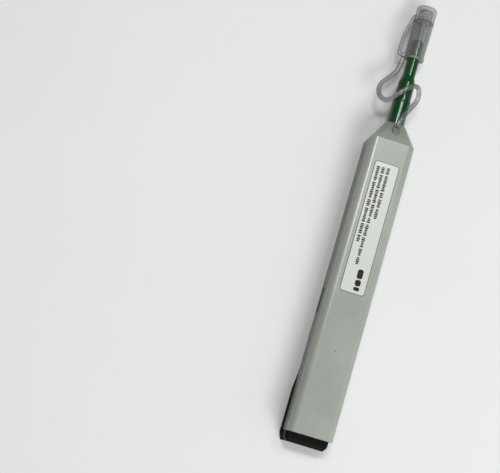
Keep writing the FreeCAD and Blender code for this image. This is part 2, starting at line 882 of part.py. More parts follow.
def make_ratchet_pawl():
    """A spring-steel strip on the rear wall, hooked behind one of the reel's teeth."""
    body = new_body("ratchet_pawl")
    wall = frame_rear + z.frame_wall - takeup_y
    inside = wall + z.pawl_thickness
    bend = reel_radius - z.pawl_bend
    level = reel_radius + z.pawl_gap
    upper = level + z.pawl_thickness
    hook_low = reel_radius - z.hook_bite
    hook_back = reel_radius * HOOK_BACK_SHARE
    hook_front = reel_radius * HOOK_FRONT_SHARE
    prism(body, "YZ_Plane", reel_half - z.pawl_width, reel_half,
          polygon((wall, z.pawl_foot), (inside, z.pawl_foot), (inside, bend),
                  (-z.pawl_knee, level), (-hook_back, level), (-hook_back, hook_low),
                  (-hook_front, hook_low), (-hook_front, upper), (-z.pawl_knee, upper),
                  (wall, bend + z.pawl_thickness)))
    raise_to_axis(body, takeup_y)
    return body


# ---------------------------------------------------------------- thread

def tangent(centre_a, radius_a, side_a, centre_b, radius_b, side_b):
    """The straight run that leaves one round for another: side +1 is over its top."""
    span = centre_b - centre_a
    distance = span.Length
    along = math.atan2(span.y, span.x)
    lean = math.asin((side_a * radius_a - side_b * radius_b) / distance)
    normal = along - lean + math.pi / 2
    out = FreeCAD.Vector(math.cos(normal), math.sin(normal), 0)
    return centre_a + out * side_a * radius_a, centre_b + out * side_b * radius_b


def strand(rounds, end):
    """Edges along one strand in the YZ plane, drawn in XY, from the reel to the end."""
    edges = []
    here = None
    for (a, ra, sa), (b, rb, sb) in zip(rounds, rounds[1:]):
        start, finish = tangent(a, ra, sa, b, rb, sb)
        if here is not None:
            edges.append(arc_about(a, ra, here, start))
        edges.append(Part.makeLine(start, finish))
        here = finish
    last, radius, side = rounds[-1]
    level = last + FreeCAD.Vector(0, side * radius, 0)
    edges.append(arc_about(last, radius, here, level))
    edges.append(Part.makeLine(level, end))
    return edges


def arc_about(centre, radius, start, end):
    middle = (start + end) * 0.5 - centre
    middle.normalize()
    return Part.Arc(start, centre + middle * radius, end).toShape()


def make_cleaning_thread():
    """One thread: take-up reel, guide pins, spindle, round the tip and back."""
    pins = cross_pins()
    axis = axis_height.value
    reach = z.thread_radius.value
    offset = z.strand_offset.value

    def round_of(name, side):
        y, height, radius = pins[name]
        return FreeCAD.Vector(y.value, height.value, 0), radius.value + reach, side

    def pack_of(name, radius, side):
        y, height, _ = pins[name]
        clear = radius.value + reach + z.running_gap.value
        return FreeCAD.Vector(y.value, height.value, 0), clear, side

    nose = tip_end.value - offset - reach
    upper_end = FreeCAD.Vector(nose, axis + offset, 0)
    lower_end = FreeCAD.Vector(nose, axis - offset, 0)
    upper = strand([pack_of("takeup_axle", z.takeup_pack, 1), round_of("rear_guide_pin", 1),
                    round_of("front_guide_pin", 1), round_of("upper_mouth_pin", -1)], upper_end)
    lower = strand([pack_of("supply_axle", z.supply_pack, -1),
                    round_of("lower_mouth_pin", 1)], lower_end)
    turn = Part.Arc(upper_end, FreeCAD.Vector(nose + offset, axis, 0), lower_end).toShape()
    path = Part.Wire(Part.__sortEdges__(upper + [turn] + lower))
    start = upper[0].Vertexes[0].Point
    section = Part.Wire(Part.makeCircle(reach, start, upper[0].Curve.Direction))
    thread = path.makePipeShell([section], True, False)
    # Drawn along X and up Y, it stands on the plane through the pen's axis.
    stand = FreeCAD.Rotation(FreeCAD.Vector(0, 1, 0), FreeCAD.Vector(0, 0, 1),
                             FreeCAD.Vector(1, 0, 0), "ZXY")
    piece = plain_solid("cleaning_thread", thread)
    piece.Placement = FreeCAD.Placement(FreeCAD.Vector(0, 0, 0), stand)
    return piece


# ---------------------------------------------------------------- nozzle and tip

def make_nozzle_sleeve():
    """The glossy green sleeve that the case slides over, flanged inside the case."""
    body = new_body("nozzle_sleeve")
    flange_end = frame_front + z.frame_wall
    tail = frame_front - z.frame_wall
    turned(body, (z.sleeve_bore, tail), (z.sleeve_radius - z.running_gap / 2, tail),
           (z.sleeve_radius - z.running_gap / 2, frame_front),
           (z.sleeve_radius + z.frame_wall, frame_front),
           (z.sleeve_radius + z.frame_wall, flange_end), (z.sleeve_radius, flange_end),
           (z.sleeve_radius, sleeve_end - z.part_gap * 2),
           (z.sleeve_radius - z.part_gap * 2, sleeve_end), (z.sleeve_bore, sleeve_end))
    raise_to_axis(body)
    return body


def make_nozzle():
    """The front barrel: a short taper down to the neck that enters an adapter."""
    body = new_body("nozzle")
    tail = sleeve_end - z.nozzle_tail
    inner = z.spindle_shaft + z.slide_gap
    tail_radius = z.sleeve_bore - z.running_gap / 2
    narrow = z.barrel_radius - z.barrel_taper
    mouth = z.tip_radius + z.tip_shoulder + z.running_gap / 2
    ease_back = z.part_gap * 2
    turned(body, (inner, tail), (tail_radius, tail), (tail_radius, sleeve_end),
           (z.barrel_radius - ease_back, sleeve_end),
           (z.barrel_radius, sleeve_end + ease_back), (narrow, barrel_end),
           (z.neck_radius, neck_start), (z.neck_radius, neck_end - z.neck_chamfer),
           (z.neck_radius - z.neck_chamfer, neck_end), (mouth, neck_end),
           (mouth, neck_end - z.mouth_wall),
           (neck_bore, neck_end - z.mouth_wall), (neck_bore, barrel_end), (inner, barrel_end))
    raise_to_axis(body)
    return body


def make_tip_tube():
    """The pale tube that guides a ferrule of the connector onto the tip."""
    body = new_body("tip_tube")
    inner = z.tip_radius - z.tip_wall
    seat = neck_end - z.mouth_wall
    front = tip_end - z.tip_setback
    flange_rear = seat - z.tip_flange
    lip = neck_bore - z.part_gap
    shoulder = z.tip_radius + z.tip_shoulder
    turned(body, (inner, flange_rear), (lip, flange_rear), (lip, seat), (shoulder, seat),
           (shoulder, neck_end), (z.tip_radius, neck_end),
           (z.tip_radius, front - z.part_gap * 2), (z.tip_radius - z.part_gap * 2, front),
           (inner, front))
    raise_to_axis(body)
    return body


def make_spindle():
    """The hollow spindle: a helically grooved drum behind a long shaft."""
    body = new_body("spindle")
    rear = rear_bearing - z.journal_overhang
    drum_rear = rear_bearing + z.bearing_length + z.drum_setback
    drum_end = front_bearing + z.bearing_length
    neck_from = barrel_end + z.slide_gap
    front = neck_end - z.mouth_wall - z.spindle_setback
    spring_seat = spring_start()
    turned(body, (z.thread_bore + z.slide_gap, rear), (z.spindle_journal, rear),
           (z.spindle_journal, drum_rear), (z.spindle_drum, drum_rear),
           (z.spindle_drum, drum_end), (z.spindle_shaft, drum_end),
           (z.spindle_shaft, neck_from - z.spindle_step), (z.spindle_neck, neck_from),
           (z.spindle_neck, front), (z.spindle_bore, front), (z.spindle_bore, spring_seat),
           (z.thread_bore, spring_seat), (z.thread_bore, rear + z.slide_gap))
    cut_cam_groove(body)
    raise_to_axis(body)
    # At rest the groove's floor lies under the cam pin, past the groove's first end.
    body.Placement.Rotation = FreeCAD.Rotation(
        FreeCAD.Vector(0, 1, 0), -90 - 360 * z.groove_overrun.value / z.cam_lead.value)
    return body


def cut_cam_groove(body):
    """A right-handed groove that turns the spindle as the pin passes along it."""
    start = cam_pin_y - z.groove_overrun
    half = z.groove_width / 2
    outside = z.spindle_drum + z.slide_gap
    sketch = sketch_on(body, "XY_Plane")
    rectangle(z.groove_floor, outside, start - half, start + half)(sketch)
    before = body.Shape.Volume
    groove = body.newObject("PartDesign::SubtractiveHelix", "cam_groove")
    groove.Profile = sketch
    groove.ReferenceAxis = (sketch, ["V_Axis"])
    groove.Mode = 0
    bind(groove, "Pitch", z.cam_lead)
    bind(groove, "Height", z.stroke + 2 * z.groove_overrun)
    doc.recompute()
    if body.Shape.Volume > before - LEAST_CUT:
        raise RuntimeError("the cam groove cuts nothing")


def spring_start():
    return tip_end - z.head_length - z.tip_spring_length


def make_tip_head():
    """The sprung head whose rounded end presses the thread on the ferrule."""
    body = new_body("tip_head")
    rear = tip_end - z.head_length
    web = z.strand_offset - z.thread_radius - z.thread_fit
    nose = tip_end - thread_outer
    dome = [(web * math.cos(lean), nose + web * math.sin(lean))
            for lean in (math.pi / 6, math.pi / 3)]
    turned(body, (0, rear), (z.head_radius, rear), (z.head_radius, nose), (web, nose),
           *dome, (0, nose + web))
    slot = z.thread_radius + z.part_gap
    outside = z.head_radius + z.part_gap
    for low, high in ((web, outside), (-outside, -web)):
        prism(body, "XZ_Plane", rear - z.slide_gap, tip_end, rectangle(-slot, slot, low, high),
              cut=True)
    raise_to_axis(body)
    return body


def make_coil(label, radius, wire, turns, start, length, height):
    """A round-wire compression spring along the pen."""
    body = new_body(label)
    sketch = sketch_on(body, "XY_Plane")
    circle(radius, start + wire, wire)(sketch)
    coil = body.newObject("PartDesign::AdditiveHelix", label + "_coil")
    coil.Profile = sketch
    coil.ReferenceAxis = (sketch, ["V_Axis"])
    coil.Mode = 0
    bind(coil, "Pitch", (length - 2 * wire) / turns)
    bind(coil, "Height", length - 2 * wire)
    bind(body, "Placement.Base.z", height)
    doc.recompute()
    return body


# ---------------------------------------------------------------- cap, lid and strap

def make_guide_cap():
    """The clear cap whose front bore leads a bare ferrule onto the tip."""
    body = new_body("guide_cap")
    rim = z.cap_mouth_radius + z.cap_lip
    wall_start = cap_end - z.cap_end_wall
    tip_hole = z.tip_radius + z.cap_tip_gap
    lead = z.cap_lead
    turned(body, (z.cap_bore, cap_start), (rim, cap_start), (rim, cap_start + z.cap_rim),
           (z.cap_mouth_radius, cap_start + z.cap_rim + lead),
           (z.cap_head_radius, cap_end - lead), (z.cap_head_radius - lead, cap_end),
           (z.spigot_radius, cap_end), (z.spigot_radius, spigot_end - lead),
           (z.spigot_radius - lead, spigot_end), (z.ferrule_bore + lead, spigot_end),
           (z.ferrule_bore, spigot_end - lead), (z.ferrule_bore, cap_end),
           (tip_hole, cap_end), (tip_hole, wall_start), (z.cap_bore, wall_start))
    grip = z.neck_radius + z.running_gap
    rib = prism(body, "XZ_Plane", cap_start + z.cap_rim, neck_end - z.slide_gap,
                rectangle(-z.rib_width / 2, z.rib_width / 2, grip, z.cap_bore + lead))
    around(body, rib, "Y_Axis", CAP_RIBS)
    # The root that the lid's band and the strap grow from.
    prism(body, "XZ_Plane", cap_start, cap_start + z.nub_length,
          rectangle(-z.nub_reach, -z.cap_mouth_radius + lead, -z.strap_width / 2,
                    z.strap_width / 2))
    raise_to_axis(body)
    return body


def make_dust_lid():
    """The lid that closes the cap's front bore."""
    body = new_body("dust_lid")
    inner = z.spigot_radius + z.running_gap
    roof = spigot_end + z.part_gap * 2
    turned(body, (inner, lid_start), (z.lid_radius, lid_start), (z.lid_radius, lid_end),
           (0, lid_end), (0, roof), (inner, roof))
    ease(body, z.lid_corner, lambda edge: near(edge.CenterOfMass.y, lid_end) and
         near(edge.BoundBox.XMax, z.lid_radius))
    raise_to_axis(body)
    return body


def make_lid_band(cap, lid):
    """The moulded band that ties the lid to the cap's root."""
    doc.recompute()
    half = z.band_width.value / 2
    fold = z.band_fold.value
    level = axis_height.value
    top = FreeCAD.Vector(-z.lid_radius.value, lid_start.value + z.band_top.value, level)
    bend = FreeCAD.Vector(fold - z.band_heel.value, cap_start.value + half + fold, level)
    heel = bend - FreeCAD.Vector(fold, 0, 0)
    foot = bend - FreeCAD.Vector(0, fold, 0)
    root = FreeCAD.Vector(z.cap_lead.value - z.nub_reach.value, foot.y, level)
    # The long bow meets the fold at its heel, both running along the pen there.
    inset = top.x - heel.x
    radius = (top - heel).Length ** 2 / (2 * inset)
    centre = heel + FreeCAD.Vector(radius, 0, 0)
    line = Part.Wire([arc_about(centre, radius, top, heel), arc_about(bend, fold, heel, foot),
                      Part.makeLine(foot, root)])
    out = (top - centre).normalize() * half
    up = FreeCAD.Vector(0, 0, z.band_thickness.value / 2)
    section = Part.makePolygon([top + out + up, top - out + up, top - out - up,
                                top + out - up, top + out + up])
    band = line.makePipeShell([section], True, False).cut(cap.Shape).cut(lid.Shape)
    return plain_solid("lid_band", max(band.Solids, key=lambda solid: solid.Volume))


def make_strap_plug():
    """The button that is pressed into the nose's top slope."""
    body = new_body("strap_plug")
    stem_end = -z.plug_stem_length
    lead = z.part_gap * 2
    round_off = z.plug_round
    turned(body, (0, stem_end), (z.plug_stem - lead, stem_end),
           (z.plug_stem, stem_end + lead), (z.plug_stem, 0), (z.plug_radius, 0),
           (z.plug_radius, z.plug_head - round_off),
           (z.plug_radius - round_off, z.plug_head), (0, z.plug_head))
    y, height = plug_place()
    body.Placement = FreeCAD.Placement(
        FreeCAD.Vector(0, y.value, height.value),
        FreeCAD.Rotation(FreeCAD.Vector(1, 0, 0), 90 - plug_tilt()))
    bind(body, "Placement.Base.y", y)
    bind(body, "Placement.Base.z", height)
    return body


def rounded_path(points):
    """Straight runs joined by arcs, each as large as its two runs allow."""
    corners = []
    for before, here, after in zip(points, points[1:], points[2:]):
        back, on = before - here, after - here
        half_turn = (math.pi - back.getAngle(on)) / 2
        setback = ARC_SHARE * min(back.Length, on.Length)
        radius = setback / math.tan(half_turn)
        into = here + back.normalize() * setback
        out = here + on.normalize() * setback
        inward = ((into + out) * 0.5 - here).normalize()
        top = here + inward * (math.hypot(setback, radius) - radius)
        corners.append((into, top, out, radius))
    edges = []
    here = points[0]
    for into, top, out, radius in corners:
        edges.append(Part.makeLine(here, into))
        edges.append(Part.Arc(into, top, out).toShape())
        here = out
    edges.append(Part.makeLine(here, points[-1]))
    return Part.Wire(edges), [radius for _, _, _, radius in corners]


def make_strap():
    """The limp strap that keeps the cap with the pen."""
    points = [FreeCAD.Vector(*place) for place in STRAP_ROUTE]
    path, radii = rounded_path(points)
    section = Part.Wire(Part.makeCircle(z.strap_width.value / 2, points[0],
                                        points[1] - points[0]))
    strap = path.makePipeShell([section], True, True)
    expected = math.pi * (z.strap_width.value / 2) ** 2 * path.Length
    print("strap: length %.1f, radii %s" % (path.Length, [round(r, 1) for r in radii]))
    print("strap: volume %.2f, section times length %.2f" % (strap.Volume, expected))
    return plain_solid("strap", strap)


# ---------------------------------------------------------------- assembly

def make_all():
    reel_left = pinion_right + z.slide_gap
    pieces = [make_case_shell(), make_bottom_plate(), make_rear_cover(), make_cam_pin(),
              make_label(), make_carriage_frame()]
    for label, (y, height, radius) in cross_pins().items():
        pieces.append(make_cross_pin(label, y, height, radius))
    pieces += [
        make_takeup_reel(reel_left, reel_half),
        make_thread_pack("takeup_thread", reel_left, reel_half, takeup_y, z.takeup_pack),
        make_supply_reel(reel_left, reel_half),
        make_thread_pack("supply_thread", reel_left, reel_half, supply_y, z.supply_pack),
        make_drive_pinion(), make_ratchet_pawl(), make_cleaning_thread(),
        make_nozzle_sleeve(), make_nozzle(), make_tip_tube(), make_spindle(),
        make_tip_head(),
        make_coil("tip_spring", z.head_radius, z.tip_spring_wire, z.tip_spring_turns,
                  spring_start(), z.tip_spring_length, axis_height),
        make_coil("return_spring", z.spring_radius, z.spring_wire, z.spring_turns,
                  z.case_wall - half_shell, frame_rear - z.case_wall + half_shell,
                  z.spring_height),
    ]
    cap, lid = make_guide_cap(), make_dust_lid()
    pieces += [cap, lid, make_lid_band(cap, lid), make_strap_plug(), make_strap()]
    return pieces


pieces = make_all()
doc.recompute()

for item in doc.Objects:
    if "Invalid" in item.State or "Error" in item.State:
        raise RuntimeError(f"{item.Name} failed: {item.State}")
for piece in pieces:
    if piece.Shape.isNull() or not piece.Shape.isValid():
        raise RuntimeError(f"{piece.Label} has no valid shape")

os.makedirs("parts", exist_ok=True)
for piece in pieces:
    piece.Shape.exportStep(f"parts/{piece.Label}.step")
    print(f"{piece.Label}: {len(piece.Shape.Solids)} solid, {piece.Shape.Volume:.1f} mm3")
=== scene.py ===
"""Looks for a fibre connector cleaning pen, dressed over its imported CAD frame."""

import math
import random

import bmesh
import bpy
from mathutils import Matrix, Vector


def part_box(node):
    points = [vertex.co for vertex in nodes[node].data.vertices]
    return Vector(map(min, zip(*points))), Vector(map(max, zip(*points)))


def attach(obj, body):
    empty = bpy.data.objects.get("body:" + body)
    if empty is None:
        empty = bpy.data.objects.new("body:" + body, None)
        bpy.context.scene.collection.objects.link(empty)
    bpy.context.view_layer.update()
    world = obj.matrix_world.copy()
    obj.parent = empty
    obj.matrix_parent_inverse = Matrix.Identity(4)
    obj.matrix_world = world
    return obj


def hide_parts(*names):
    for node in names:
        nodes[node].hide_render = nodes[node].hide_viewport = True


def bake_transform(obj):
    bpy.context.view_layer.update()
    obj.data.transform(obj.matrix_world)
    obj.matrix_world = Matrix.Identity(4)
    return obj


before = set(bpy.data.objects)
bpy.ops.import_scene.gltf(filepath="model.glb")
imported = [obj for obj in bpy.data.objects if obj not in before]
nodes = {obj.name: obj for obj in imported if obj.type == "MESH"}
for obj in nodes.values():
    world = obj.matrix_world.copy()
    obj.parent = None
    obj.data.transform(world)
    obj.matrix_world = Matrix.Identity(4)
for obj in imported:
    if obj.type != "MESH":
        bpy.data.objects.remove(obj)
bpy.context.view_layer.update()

MM = 0.001
AXIS_HEIGHT = 8.5 * MM
UP = Vector((0, 0, 1))


# ---------------------------------------------------------------- camera

CAMERA_PLACE = Vector((-84.996, -72.913, 494.627)) * MM
CAMERA_AIM = Vector((-45.46, 8.13, 8.5)) * MM
CAMERA_UP = Vector((-0.29747, 0.94537, 0.1334))
LENS_MM = 86.54
SENSOR_MM = 36.0
NEAR_CLIP = 10 * MM


def place_camera():
    """The camera looks steeply down on the pen, which runs from lower left to upper right."""
    data = bpy.data.cameras.new("bench_camera")
    data.lens = LENS_MM
    data.sensor_width = SENSOR_MM
    data.clip_start = NEAR_CLIP
    camera = bpy.data.objects.new("bench_camera", data)
    bpy.context.scene.collection.objects.link(camera)
    back = (CAMERA_PLACE - CAMERA_AIM).normalized()
    right = CAMERA_UP.cross(back).normalized()
    up = back.cross(right)
    turn = Matrix((right, up, back)).transposed().to_4x4()
    camera.matrix_world = Matrix.Translation(CAMERA_PLACE) @ turn
    bpy.context.scene.camera = camera


place_camera()


# ---------------------------------------------------------------- finishes

def linear(hex_colour):
    """An sRGB hex colour as the linear colour that shaders take."""
    channels = [int(hex_colour[i:i + 2], 16) / 255 for i in (1, 3, 5)]
    return tuple(c / 12.92 if c <= 0.04045 else ((c + 0.055) / 1.055) ** 2.4
                 for c in channels) + (1.0,)


def add(material, kind, sockets=None, **settings):
    """Adds a node, makes its settings, and fills its sockets with values or with links."""
    node = material.node_tree.nodes.new("ShaderNode" + kind)
    for name, value in settings.items():
        setattr(node, name, value)
    for socket, value in (sockets or {}).items():
        if isinstance(value, bpy.types.NodeSocket):
            material.node_tree.links.new(value, node.inputs[socket])
        else:
            node.inputs[socket].default_value = value
    return node


def new_material(name):
    """An empty material with its output node and the place on the piece, in metres."""
    material = bpy.data.materials.new(name)
    material.use_nodes = True
    material.node_tree.nodes.clear()
    output = add(material, "OutputMaterial")
    place = add(material, "TexCoord").outputs["Object"]
    return material, output, place


def finish_surface(material, output, shader):
    material.node_tree.links.new(shader.outputs[0], output.inputs["Surface"])
    return material


def per_metre(size_mm):
    """The scale of a texture whose features are that size."""
    return 1 / (size_mm * MM)


def wave_scale(period_mm, radians_per_unit):
    """The scale of a wave texture whose bands repeat at that distance."""
    return 2 * math.pi * per_metre(period_mm) / radians_per_unit


# How far a wave texture turns in one unit along X, and along each axis on the diagonal.
WAVE_ALONG_X = 20
WAVE_ON_DIAGONAL = 10

# The clear plastic's lower haze fades out over this height each side of the pen's axis, and
# the case's painted side shade is full and its coat gone below one height, the reverse above the
# other.
HAZE_FADE = 1.2 * MM
SHADE_AND_COAT_LOW = 10.0 * MM
SHADE_AND_COAT_HIGH = 16.2 * MM


def moulded_satin_abs():
    # Silver-grey ABS, moulded against a fine spark-eroded steel and then coated in a thin
    # pearl lacquer: a soft satin sheet of light with a crisp line where an edge turns over.
    # Painted shade darkens the sides' colour towards their foot, and the lacquer coat fades out
    # there.
    material, output, place = new_material("satin_silver_abs_moulded")
    cloud = add(material, "TexNoise", {"Vector": place, "Scale": per_metre(24), "Detail": 3.0})
    # The lacquer's flakes are drawn 0.7 mm across, coarser than real ones, so that they show.
    flake = add(material, "TexNoise", {"Vector": place, "Scale": per_metre(0.7), "Detail": 2.0})
    mottle = add(material, "Math", {0: flake.outputs["Fac"], 1: 0.45,
                                    2: cloud.outputs["Fac"]}, operation="MULTIPLY_ADD")
    tint = add(material, "ValToRGB", {"Fac": mottle.outputs["Value"]})
    tint.color_ramp.elements[0].position = 0.45
    tint.color_ramp.elements[0].color = linear("#93978f")
    tint.color_ramp.elements[1].position = 1.0
    tint.color_ramp.elements[1].color = linear("#a5a9a1")
    height = add(material, "SeparateXYZ", {"Vector": place}).outputs["Z"]
    # Painted shade: the base colour is scaled down to 0.42 towards the foot of the sides.
    painted_side_shade = add(material, "MapRange", {"Value": height, "From Min": SHADE_AND_COAT_LOW,
                                          "From Max": SHADE_AND_COAT_HIGH, "To Min": 0.42,
                                          "To Max": 1.0})
    gloss = add(material, "MapRange", {"Value": height, "From Min": SHADE_AND_COAT_LOW,
                                       "From Max": SHADE_AND_COAT_HIGH, "To Min": 0.0,
                                       "To Max": 0.5})
    shaded_tint = add(material, "VectorMath", {0: tint.outputs["Color"],
                                           "Scale": painted_side_shade.outputs["Result"]},
                  operation="SCALE")
    # The grain is 0.35 mm here, coarser than the real 0.1 mm, so that it shows.
    grain = add(material, "TexNoise", {"Vector": place, "Scale": per_metre(0.35), "Detail": 2.0})
    bump = add(material, "Bump", {"Height": grain.outputs["Fac"], "Strength": 0.06,
                                  "Distance": 0.02 * MM})
    rubbed = add(material, "MapRange", {"Value": cloud.outputs["Fac"], "From Min": 0.3,
                                        "From Max": 0.7, "To Min": 0.29, "To Max": 0.34})
    shader = add(material, "BsdfPrincipled", {
        "Base Color": shaded_tint.outputs["Vector"], "Roughness": rubbed.outputs["Result"],
        "IOR": 1.45, "Specular IOR Level": 0.35, "Coat Weight": gloss.outputs["Result"],
        "Coat Roughness": 0.22, "Coat IOR": 1.5,
        "Normal": bump.outputs["Normal"]})
    return finish_surface(material, output, shader)


def moulded_black_abs():
    # Black ABS from a spark-eroded mould: dull, with a faint grey bloom and fine grain.
    material, output, place = new_material("black_abs_moulded")
    bloom = add(material, "TexNoise", {"Vector": place, "Scale": per_metre(5), "Detail": 4.0})
    tint = add(material, "ValToRGB", {"Fac": bloom.outputs["Fac"]})
    tint.color_ramp.elements[0].position = 0.35
    tint.color_ramp.elements[0].color = linear("#050505")
    tint.color_ramp.elements[1].position = 0.75
    tint.color_ramp.elements[1].color = linear("#090908")
    grain = add(material, "TexNoise", {"Vector": place, "Scale": per_metre(0.3), "Detail": 2.0})
    bump = add(material, "Bump", {"Height": grain.outputs["Fac"], "Strength": 0.25,
                                  "Distance": 0.03 * MM})
    shader = add(material, "BsdfPrincipled", {
        "Base Color": tint.outputs["Color"], "Roughness": 0.6, "IOR": 1.53,
        "Specular IOR Level": 0.15,
        "Normal": bump.outputs["Normal"]})
    return finish_surface(material, output, shader)


def polished_green_polycarbonate():
    # Deep green polycarbonate from a polished mould: dark body, sharp bright highlights.
    material, output, place = new_material("green_polycarbonate_polished")
    depth = add(material, "TexNoise", {"Vector": place, "Scale": per_metre(6), "Detail": 2.0})
    tint = add(material, "ValToRGB", {"Fac": depth.outputs["Fac"]})
    tint.color_ramp.elements[0].position = 0.3
    tint.color_ramp.elements[0].color = linear("#0a3f1c")
    tint.color_ramp.elements[1].position = 0.7
    tint.color_ramp.elements[1].color = linear("#0f4b23")
    flow = add(material, "TexNoise", {"Vector": place, "Scale": per_metre(2.5), "Detail": 1.0})
    bump = add(material, "Bump", {"Height": flow.outputs["Fac"], "Strength": 0.05,
                                  "Distance": 0.05 * MM})
    shader = add(material, "BsdfPrincipled", {
        "Base Color": tint.outputs["Color"], "Roughness": 0.13, "IOR": 1.58,
        "Specular IOR Level": 0.4,
        "Normal": bump.outputs["Normal"]})
    return finish_surface(material, output, shader)


def moulded_clear_polypropylene(name, facing, edge, pale, dark, underside=None):
    # Natural polypropylene, moulded thin: smoky and see-through where the eye meets a wall
    # squarely, dark grey and nearly solid where it looks along one. With an underside, the
    # half below the pen's axis is drawn as a more opaque grey haze, and the top half is clear.
    material, output, place = new_material(name)
    haze = add(material, "TexNoise", {"Vector": place, "Scale": per_metre(3), "Detail": 3.0})
    grazing = add(material, "LayerWeight", {"Blend": 0.4})
    depth = add(material, "Math", {0: haze.outputs["Fac"], 1: 0.15,
                                   2: grazing.outputs["Facing"]}, operation="MULTIPLY_ADD")
    tint = add(material, "ValToRGB", {"Fac": depth.outputs["Value"]})
    tint.color_ramp.elements[0].position = 0.15
    tint.color_ramp.elements[0].color = linear(pale)
    tint.color_ramp.elements[1].position = 0.65
    tint.color_ramp.elements[1].color = linear(dark)
    frosting = add(material, "MapRange", {"Value": haze.outputs["Fac"], "From Min": 0.3,
                                          "From Max": 0.7, "To Min": 0.1, "To Max": 0.18})
    bump = add(material, "Bump", {"Height": haze.outputs["Fac"], "Strength": 0.08,
                                  "Distance": 0.05 * MM})
    wall = add(material, "MapRange", {"Value": grazing.outputs["Facing"], "From Min": 0.1,
                                      "From Max": 0.7, "To Min": facing, "To Max": edge})
    alpha = wall.outputs["Result"]
    if underside is not None:
        height = add(material, "SeparateXYZ", {"Vector": place}).outputs["Z"]
        lower_haze = add(material, "MapRange", {
            "Value": height, "From Min": AXIS_HEIGHT - HAZE_FADE,
            "From Max": AXIS_HEIGHT + HAZE_FADE, "To Min": underside, "To Max": 0.0})
        alpha = add(material, "Math", {0: alpha, 1: lower_haze.outputs["Result"]},
                    operation="MAXIMUM").outputs["Value"]
    shader = add(material, "BsdfPrincipled", {
        "Base Color": tint.outputs["Color"], "Roughness": frosting.outputs["Result"],
        "IOR": 1.49, "Alpha": alpha, "Normal": bump.outputs["Normal"]})
    return finish_surface(material, output, shader)


def coated_label_film():
    # White polypropylene label film with a gloss coat: flat, bright and smooth, with the
    # slight orange peel of its glue beneath.
    material, output, place = new_material("white_label_film_coated")
    peel = add(material, "TexNoise", {"Vector": place, "Scale": per_metre(1.2), "Detail": 2.0})
    bump = add(material, "Bump", {"Height": peel.outputs["Fac"], "Strength": 0.1,
                                  "Distance": 0.02 * MM})
    cloud = add(material, "TexNoise", {"Vector": place, "Scale": per_metre(15), "Detail": 2.0})
    tint = add(material, "ValToRGB", {"Fac": cloud.outputs["Fac"]})
    tint.color_ramp.elements[0].color = linear("#cbcfc8")
    tint.color_ramp.elements[1].color = linear("#d2d5ce")
    shader = add(material, "BsdfPrincipled", {
        "Base Color": tint.outputs["Color"], "Roughness": 0.3, "IOR": 1.49,
        "Coat Weight": 0.6, "Coat Roughness": 0.1, "Normal": bump.outputs["Normal"]})
    return finish_surface(material, output, shader)


def printed_black_ink():
    # Black printing ink on the film: flat black, with a little less where it lies thin.
    material, output, place = new_material("black_ink_printed")
    wear = add(material, "TexNoise", {"Vector": place, "Scale": per_metre(0.5), "Detail": 3.0})
    tint = add(material, "ValToRGB", {"Fac": wear.outputs["Fac"]})
    tint.color_ramp.elements[0].position = 0.25
    tint.color_ramp.elements[0].color = linear("#060606")
    tint.color_ramp.elements[1].position = 0.8
    tint.color_ramp.elements[1].color = linear("#161616")
    shader = add(material, "BsdfPrincipled", {
        "Base Color": tint.outputs["Color"], "Roughness": 0.5, "IOR": 1.5,
        "Specular IOR Level": 0.25})
    return finish_surface(material, output, shader)


def moulded_acetal(name, low, high):
    # Natural acetal, moulded: waxy and even, with a low soft shine and faint flow marks.
    material, output, place = new_material(name)
    flow = add(material, "TexNoise", {"Vector": place, "Scale": per_metre(2), "Detail": 3.0,
                                      "Distortion": 0.4})
    tint = add(material, "ValToRGB", {"Fac": flow.outputs["Fac"]})
    tint.color_ramp.elements[0].position = 0.3
    tint.color_ramp.elements[0].color = linear(low)
    tint.color_ramp.elements[1].position = 0.7
    tint.color_ramp.elements[1].color = linear(high)
    bump = add(material, "Bump", {"Height": flow.outputs["Fac"], "Strength": 0.1,
                                  "Distance": 0.03 * MM})
    shader = add(material, "BsdfPrincipled", {
        "Base Color": tint.outputs["Color"], "Roughness": 0.36, "IOR": 1.48,
        "Subsurface Weight": 0.1, "Subsurface Scale": 0.5 * MM,
        "Normal": bump.outputs["Normal"]})
    return finish_surface(material, output, shader)


def drawn_spring_wire():
    # Stainless spring wire, drawn through a die: bright, with fine lines along its length.
    material, output, place = new_material("stainless_spring_wire_drawn")
    lines = add(material, "TexNoise", {"Vector": place, "Scale": per_metre(0.25), "Detail": 2.0})
    shine = add(material, "MapRange", {"Value": lines.outputs["Fac"], "To Min": 0.2,
                                       "To Max": 0.4})
    shader = add(material, "BsdfPrincipled", {
        "Base Color": linear("#b9b8b4"), "Metallic": 1.0,
        "Roughness": shine.outputs["Result"]})
    return finish_surface(material, output, shader)


def ground_pin_steel():
    # Hardened steel pins, ground between centres: bright, with faint rings round the pin.
    # The rings are drawn 1.9 mm apart, much coarser than real ones, so that they show.
    material, output, place = new_material("steel_pin_ground")
    rings = add(material, "TexWave", {"Vector": place,
                                      "Scale": wave_scale(1.885, WAVE_ALONG_X),
                                      "Distortion": 1.0, "Detail": 2.0},
                bands_direction="X")
    shine = add(material, "MapRange", {"Value": rings.outputs["Fac"], "To Min": 0.18,
                                       "To Max": 0.3})
    shader = add(material, "BsdfPrincipled", {
        "Base Color": linear("#c4c4c2"), "Metallic": 1.0,
        "Roughness": shine.outputs["Result"]})
    return finish_surface(material, output, shader)


